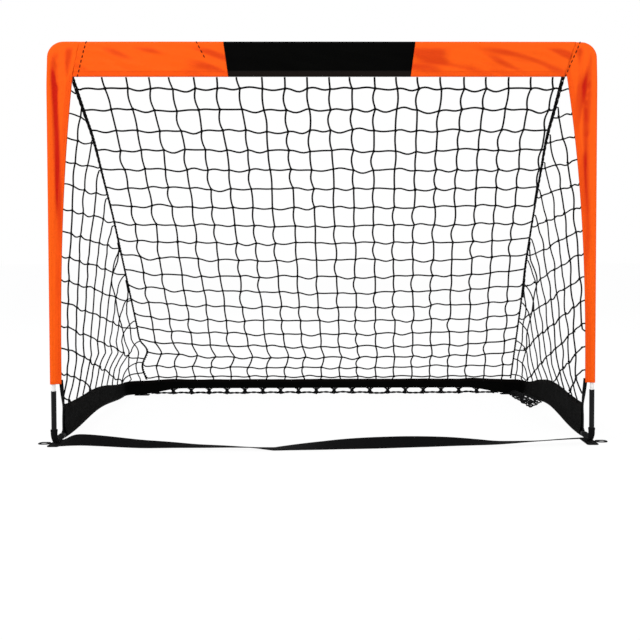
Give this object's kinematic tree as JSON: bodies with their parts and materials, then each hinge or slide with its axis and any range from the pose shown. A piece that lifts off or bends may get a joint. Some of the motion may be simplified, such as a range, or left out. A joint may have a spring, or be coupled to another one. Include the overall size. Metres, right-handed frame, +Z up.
{
  "type": "soccer goal frame",
  "caption": "Portable small soccer goal: pole frame in cloth sleeves, steel feet, ground poles with base strips, knotted net on back and sides, and stake loops.",
  "frame": {"origin": "on the ground under the middle of the goal's overall box", "axes": "+X to the right as seen by a player facing the mouth, +Y from the mouth to the back net, +Z up"},
  "size_m": [1.284, 0.6682, 0.8926],
  "materials": {
    "orange_cloth": "coated oxford cloth, slight sheen",
    "black_cloth": "coated oxford cloth",
    "net_string": "knotted polyester string",
    "webbing": "woven flat webbing",
    "black_steel": "black coated steel tube",
    "zinc_steel": "zinc plated steel tube",
    "fibreglass": "smooth white fibreglass tube",
    "elastic": "braided elastic cord"
  },
  "bodies": {
    "base": {"base_strip_left": "black_cloth", "base_strip_rear": "black_cloth", "base_strip_right": "black_cloth", "corner_cord_left": "net_string", "corner_cord_right": "net_string", "foot_elbow_left": "black_steel", "foot_elbow_right": "black_steel", "foot_pocket_left": "webbing", "foot_pocket_right": "webbing", "front_band_left": "webbing", "front_band_right": "webbing", "ground_strap": "webbing", "net_back": "net_string", "net_left": "net_string", "net_right": "net_string", "rear_elbow_left": "black_steel", "rear_elbow_right": "black_steel", "rear_ferrule_left": "zinc_steel", "rear_ferrule_right": "zinc_steel", "rear_pole_left": "fibreglass", "rear_pole_middle": "fibreglass", "rear_pole_right": "fibreglass", "rear_tab_left": "webbing", "rear_tab_right": "webbing", "shock_cord_base": "elastic", "side_pole_left": "fibreglass", "side_pole_right": "fibreglass"},
    "front_frame": {"crossbar_ferrule_left": "zinc_steel", "crossbar_ferrule_right": "zinc_steel", "crossbar_pole_left": "fibreglass", "crossbar_pole_middle": "fibreglass", "crossbar_pole_right": "fibreglass", "crossbar_sleeve_left": "orange_cloth", "crossbar_sleeve_middle": "black_cloth", "crossbar_sleeve_right": "orange_cloth", "post_sleeve_left": "orange_cloth", "post_sleeve_right": "orange_cloth", "shock_cord_front": "elastic", "top_elbow_left": "black_steel", "top_elbow_right": "black_steel", "upright_left_ferrule": "zinc_steel", "upright_left_lower": "fibreglass", "upright_left_upper": "fibreglass", "upright_right_ferrule": "zinc_steel", "upright_right_lower": "fibreglass", "upright_right_upper": "fibreglass"},
    "loop_front_left": {"stake_loop_front_left": "webbing"},
    "loop_front_right": {"stake_loop_front_right": "webbing"},
    "loop_rear_left": {"stake_loop_rear_left": "webbing"},
    "loop_rear_right": {"stake_loop_rear_right": "webbing"}
  },
  "joints": [
    {"name": "frame_lift", "type": "slide", "parent": "base", "child": "front_frame", "axis": [0, 0, 1], "range_m": [0, 0.05]},
    {"name": "loop_flap_front_left", "type": "hinge", "parent": "base", "child": "loop_front_left", "pos_m": [-0.61397, -0.28633, 0.001], "axis": [0, 1, 0], "range_deg": [0, 90]},
    {"name": "loop_flap_front_right", "type": "hinge", "parent": "base", "child": "loop_front_right", "pos_m": [0.61397, -0.28633, 0.001], "axis": [0, -1, 0], "range_deg": [0, 90]},
    {"name": "loop_flap_rear_left", "type": "hinge", "parent": "base", "child": "loop_rear_left", "pos_m": [-0.553, 0.30609, 0.001], "axis": [1, 0, 0], "range_deg": [0, 90]},
    {"name": "loop_flap_rear_right", "type": "hinge", "parent": "base", "child": "loop_rear_right", "pos_m": [0.553, 0.30609, 0.001], "axis": [1, 0, 0], "range_deg": [0, 90]}
  ]
}
